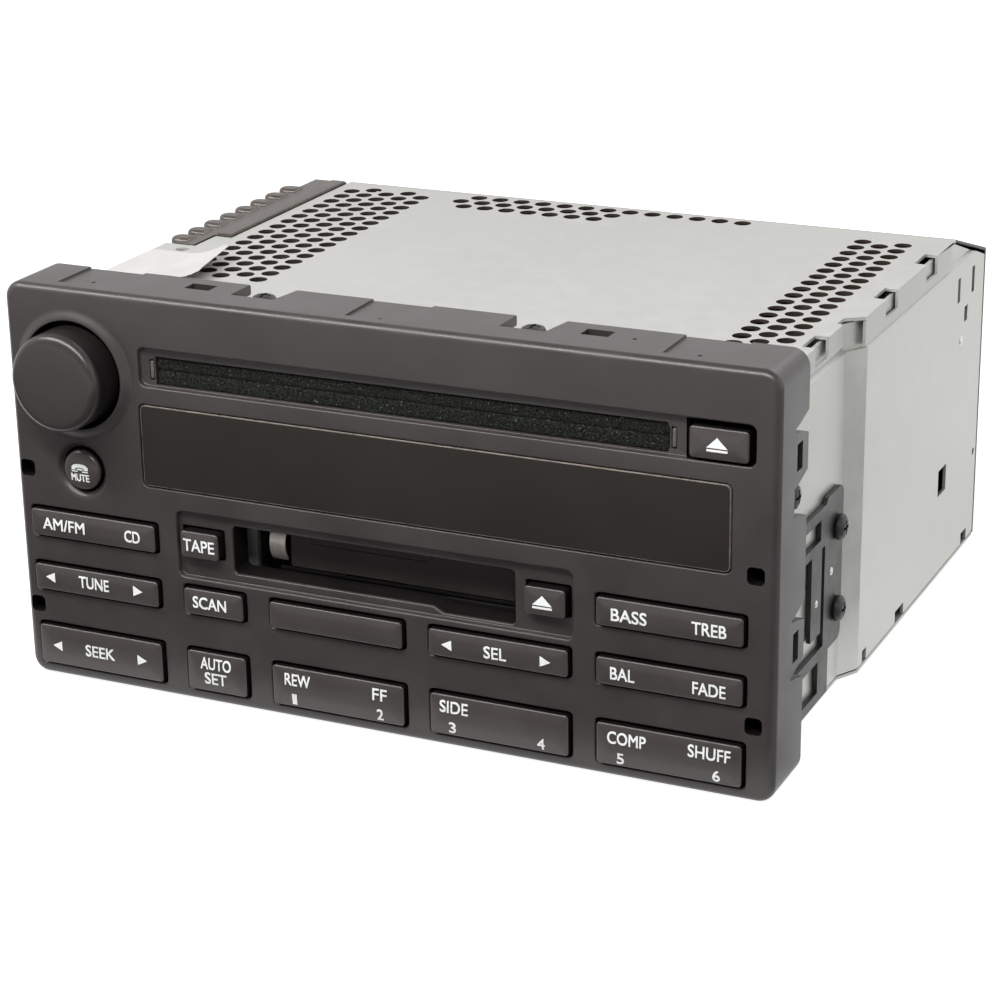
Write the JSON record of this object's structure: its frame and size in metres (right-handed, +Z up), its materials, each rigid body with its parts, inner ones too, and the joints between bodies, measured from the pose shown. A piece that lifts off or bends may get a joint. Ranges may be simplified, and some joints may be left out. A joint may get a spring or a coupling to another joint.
{
  "type": "car radio",
  "caption": "Double-height car radio with disc slot, display window, cassette bay, rocker keys and volume knob on a steel case with side heat sink and release clips.",
  "frame": {"origin": "middle of the bounding box footprint, at the height of the bezel's lower edge", "axes": "+X to the right seen from the face, +Y from the face to the back, +Z up"},
  "size_m": [0.19, 0.1818, 0.098],
  "materials": {
    "bezel_plastic": "fine-grained matte charcoal moulding",
    "control_plastic": "satin near-black paint on moulded keys",
    "lens_plastic": "smoked, soft-gloss window",
    "felt": "flecked black dust felt",
    "galvanised_steel": "light grey galvanised sheet",
    "black_steel": "black phosphate finish",
    "dark_aluminium": "dark anodised casting",
    "label_film": "blank white sticker",
    "circuit_board": "green solder mask",
    "silicone": "pale silicone",
    "black_plastic": "black moulding",
    "plated_steel": "plated mechanism steel",
    "pale_plastic": "natural white plastic",
    "spring_steel": "brown-grey spring strip"
  },
  "bodies": {
    "chassis": {"bezel": "bezel_plastic", "display_lens": "lens_plastic", "cd_felt": "felt", "front_frame": "galvanised_steel", "top_cover": "galvanised_steel", "bottom_cover": "galvanised_steel", "right_side": "galvanised_steel", "left_side": "galvanised_steel", "rear_panel": "black_steel", "right_release_clip": "black_steel", "left_release_clip": "black_steel", "bezel_screw_top_left": "black_steel", "bezel_screw_top_right": "black_steel", "bezel_screw_right": "black_steel", "bezel_screw_left": "black_steel", "right_clip_screw_upper": "black_steel", "right_clip_screw_lower": "black_steel", "left_clip_screw_upper": "black_steel", "left_clip_screw_lower": "black_steel", "heat_sink": "dark_aluminium", "label_sticker": "label_film", "main_board": "circuit_board", "front_board": "circuit_board", "keypad_mat": "silicone", "volume_encoder": "black_plastic", "display_module": "black_plastic", "amplifier_chip": "black_plastic", "power_connector": "black_plastic", "tuner_module": "plated_steel", "antenna_socket": "plated_steel", "cd_deck_frame": "plated_steel", "tape_deck_frame": "plated_steel", "ribbon_cable": "pale_plastic", "tape_guide_spring": "spring_steel"},
    "am_cd_rocker": {"am_cd_rocker": "control_plastic"},
    "tune_rocker": {"tune_rocker": "control_plastic"},
    "seek_rocker": {"seek_rocker": "control_plastic"},
    "function_rocker": {"function_rocker": "control_plastic"},
    "rew_ff_rocker": {"rew_ff_rocker": "control_plastic"},
    "sel_rocker": {"sel_rocker": "control_plastic"},
    "side_rocker": {"side_rocker": "control_plastic"},
    "bass_treble_rocker": {"bass_treble_rocker": "control_plastic"},
    "balance_fade_rocker": {"balance_fade_rocker": "control_plastic"},
    "comp_shuffle_rocker": {"comp_shuffle_rocker": "control_plastic"},
    "scan_button": {"scan_button": "control_plastic"},
    "auto_set_button": {"auto_set_button": "control_plastic"},
    "tape_button": {"tape_button": "control_plastic"},
    "tape_eject_button": {"tape_eject_button": "control_plastic"},
    "cd_eject_button": {"cd_eject_button": "control_plastic"},
    "mute_button": {"mute_button": "control_plastic"},
    "volume_push_carrier": {"volume_shaft": "pale_plastic"},
    "volume_dial": {"volume_knob": "control_plastic"},
    "tape_flap": {"tape_door": "control_plastic"},
    "disc_spindle": {"cd_turntable": "black_plastic"},
    "feed_roller": {"cd_feed_roller": "black_plastic"},
    "laser_sled": {"cd_laser_pickup": "black_plastic"},
    "reel_front": {"tape_spindle_front": "pale_plastic"},
    "reel_rear": {"tape_spindle_rear": "pale_plastic"},
    "flywheel": {"tape_flywheel": "plated_steel"},
    "head_slide": {"tape_head": "plated_steel"}
  },
  "joints": [
    {"name": "am_cd_rocker_tilt", "type": "hinge", "parent": "chassis", "child": "am_cd_rocker", "pos_m": [-0.0742, -0.0766, 0.0397], "axis": [0, 0, 1], "range_deg": [-3.5, 3.5], "stiffness_Nm_per_rad": 0.8},
    {"name": "tune_rocker_tilt", "type": "hinge", "parent": "chassis", "child": "tune_rocker", "pos_m": [-0.0742, -0.0766, 0.0258], "axis": [0, 0, 1], "range_deg": [-3.5, 3.5], "stiffness_Nm_per_rad": 0.8},
    {"name": "seek_rocker_tilt", "type": "hinge", "parent": "chassis", "child": "seek_rocker", "pos_m": [-0.0742, -0.0766, 0.0084], "axis": [0, 0, 1], "range_deg": [-3.5, 3.5], "stiffness_Nm_per_rad": 0.8},
    {"name": "function_rocker_tilt", "type": "hinge", "parent": "chassis", "child": "function_rocker", "pos_m": [-0.0103, -0.0766, 0.0258], "axis": [0, 0, 1], "range_deg": [-3.5, 3.5], "stiffness_Nm_per_rad": 0.8},
    {"name": "rew_ff_rocker_tilt", "type": "hinge", "parent": "chassis", "child": "rew_ff_rocker", "pos_m": [-0.0103, -0.0766, 0.0084], "axis": [0, 0, 1], "range_deg": [-3.5, 3.5], "stiffness_Nm_per_rad": 0.8},
    {"name": "sel_rocker_tilt", "type": "hinge", "parent": "chassis", "child": "sel_rocker", "pos_m": [0.0304, -0.0766, 0.0258], "axis": [0, 0, 1], "range_deg": [-3.5, 3.5], "stiffness_Nm_per_rad": 0.8},
    {"name": "side_rocker_tilt", "type": "hinge", "parent": "chassis", "child": "side_rocker", "pos_m": [0.0304, -0.0766, 0.0084], "axis": [0, 0, 1], "range_deg": [-3.5, 3.5], "stiffness_Nm_per_rad": 0.8},
    {"name": "bass_treble_rocker_tilt", "type": "hinge", "parent": "chassis", "child": "bass_treble_rocker", "pos_m": [0.07105, -0.0766, 0.0397], "axis": [0, 0, 1], "range_deg": [-3.5, 3.5], "stiffness_Nm_per_rad": 0.8},
    {"name": "balance_fade_rocker_tilt", "type": "hinge", "parent": "chassis", "child": "balance_fade_rocker", "pos_m": [0.07105, -0.0766, 0.0258], "axis": [0, 0, 1], "range_deg": [-3.5, 3.5], "stiffness_Nm_per_rad": 0.8},
    {"name": "comp_shuffle_rocker_tilt", "type": "hinge", "parent": "chassis", "child": "comp_shuffle_rocker", "pos_m": [0.07105, -0.0766, 0.0084], "axis": [0, 0, 1], "range_deg": [-3.5, 3.5], "stiffness_Nm_per_rad": 0.8},
    {"name": "scan_button_press", "type": "slide", "parent": "chassis", "child": "scan_button", "axis": [0, 1, 0], "range_m": [0, 0.001], "stiffness_N_per_m": 1500, "springref_m": -0.0002},
    {"name": "auto_set_button_press", "type": "slide", "parent": "chassis", "child": "auto_set_button", "axis": [0, 1, 0], "range_m": [0, 0.001], "stiffness_N_per_m": 1500, "springref_m": -0.0002},
    {"name": "tape_button_press", "type": "slide", "parent": "chassis", "child": "tape_button", "axis": [0, 1, 0], "range_m": [0, 0.001], "stiffness_N_per_m": 1500, "springref_m": -0.0002},
    {"name": "tape_eject_button_press", "type": "slide", "parent": "chassis", "child": "tape_eject_button", "axis": [0, 1, 0], "range_m": [0, 0.001], "stiffness_N_per_m": 1500, "springref_m": -0.0002},
    {"name": "cd_eject_button_press", "type": "slide", "parent": "chassis", "child": "cd_eject_button", "axis": [0, 1, 0], "range_m": [0, 0.001], "stiffness_N_per_m": 1500, "springref_m": -0.0002},
    {"name": "mute_button_press", "type": "slide", "parent": "chassis", "child": "mute_button", "axis": [0, 1, 0], "range_m": [0, 0.001], "stiffness_N_per_m": 1500, "springref_m": -0.0002},
    {"name": "volume_push", "type": "slide", "parent": "chassis", "child": "volume_push_carrier", "axis": [0, 1, 0], "range_m": [0, 0.0008], "stiffness_N_per_m": 3000, "springref_m": -0.0002},
    {"name": "volume_turn", "type": "hinge", "parent": "volume_push_carrier", "child": "volume_dial", "pos_m": [-0.077, -0.0856, 0.0775], "axis": [0, -1, 0], "continuous": true},
    {"name": "tape_door_swing", "type": "hinge", "parent": "chassis", "child": "tape_flap", "pos_m": [0.00335, -0.0721, 0.0466], "axis": [1, 0, 0], "range_deg": [0, 80], "stiffness_Nm_per_rad": 0.005, "springref_deg": -17.19},
    {"name": "disc_spin", "type": "hinge", "parent": "chassis", "child": "disc_spindle", "pos_m": [0.0072, -0.0016, 0.076], "axis": [0, 0, 1], "continuous": true},
    {"name": "feed_roller_spin", "type": "hinge", "parent": "chassis", "child": "feed_roller", "pos_m": [0.0072, -0.0596, 0.0766], "axis": [1, 0, 0], "continuous": true},
    {"name": "laser_travel", "type": "slide", "parent": "chassis", "child": "laser_sled", "axis": [0, 1, 0], "range_m": [0, 0.034]},
    {"name": "front_reel_spin", "type": "hinge", "parent": "chassis", "child": "reel_front", "pos_m": [-0.00195, -0.0356, 0.03], "axis": [0, 0, 1], "continuous": true},
    {"name": "rear_reel_spin", "type": "hinge", "parent": "chassis", "child": "reel_rear", "pos_m": [-0.00195, 0.0069, 0.03], "axis": [0, 0, 1], "continuous": true},
    {"name": "flywheel_spin", "type": "hinge", "parent": "chassis", "child": "flywheel", "pos_m": [0.0315, -0.0016, 0.03], "axis": [0, 0, 1], "continuous": true},
    {"name": "head_engage", "type": "slide", "parent": "chassis", "child": "head_slide", "axis": [-1, 0, 0], "range_m": [0, 0.004]}
  ]
}
